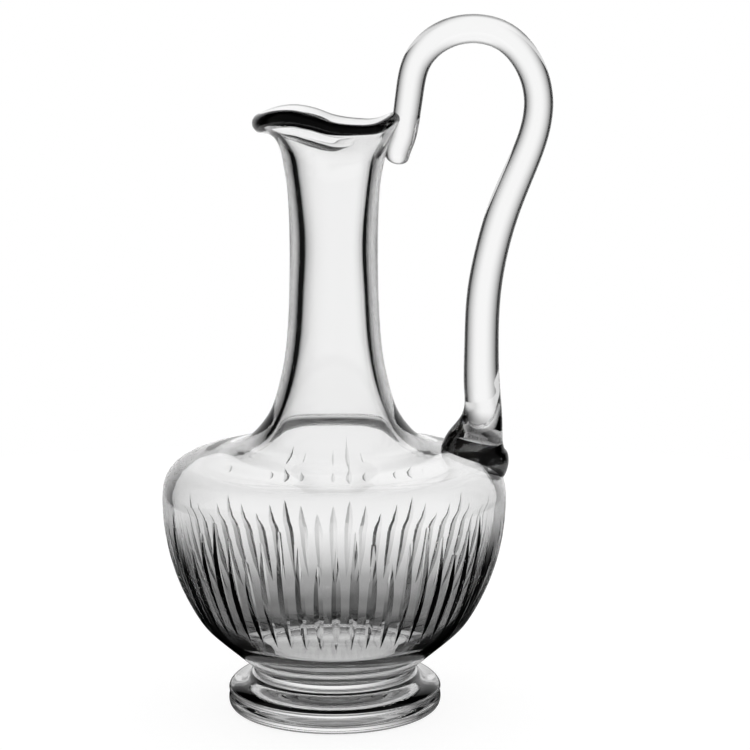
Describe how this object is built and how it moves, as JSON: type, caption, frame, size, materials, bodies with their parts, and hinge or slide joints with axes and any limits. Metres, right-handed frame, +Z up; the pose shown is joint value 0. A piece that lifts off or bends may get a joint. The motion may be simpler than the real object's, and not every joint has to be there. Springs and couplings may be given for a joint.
{
  "type": "handled wine decanter",
  "caption": "Footed clear crystal jug for wine with a pulled pouring lip, a slender neck, a tall bow handle and a band of mitre cuts round the bowl.",
  "frame": {"origin": "centre of the foot's underside, on the axis of the bowl and neck", "axes": "+Z up along the neck, -X towards the pouring lip, +X towards the handle"},
  "size_m": [0.1671, 0.1486, 0.3002],
  "materials": {
    "crystal": "clear, fire-polished lead crystal with polished cuts"
  },
  "bodies": {
    "root": {"vessel": "crystal", "merese": "crystal", "foot": "crystal", "handle": "crystal"}
  },
  "joints": []
}
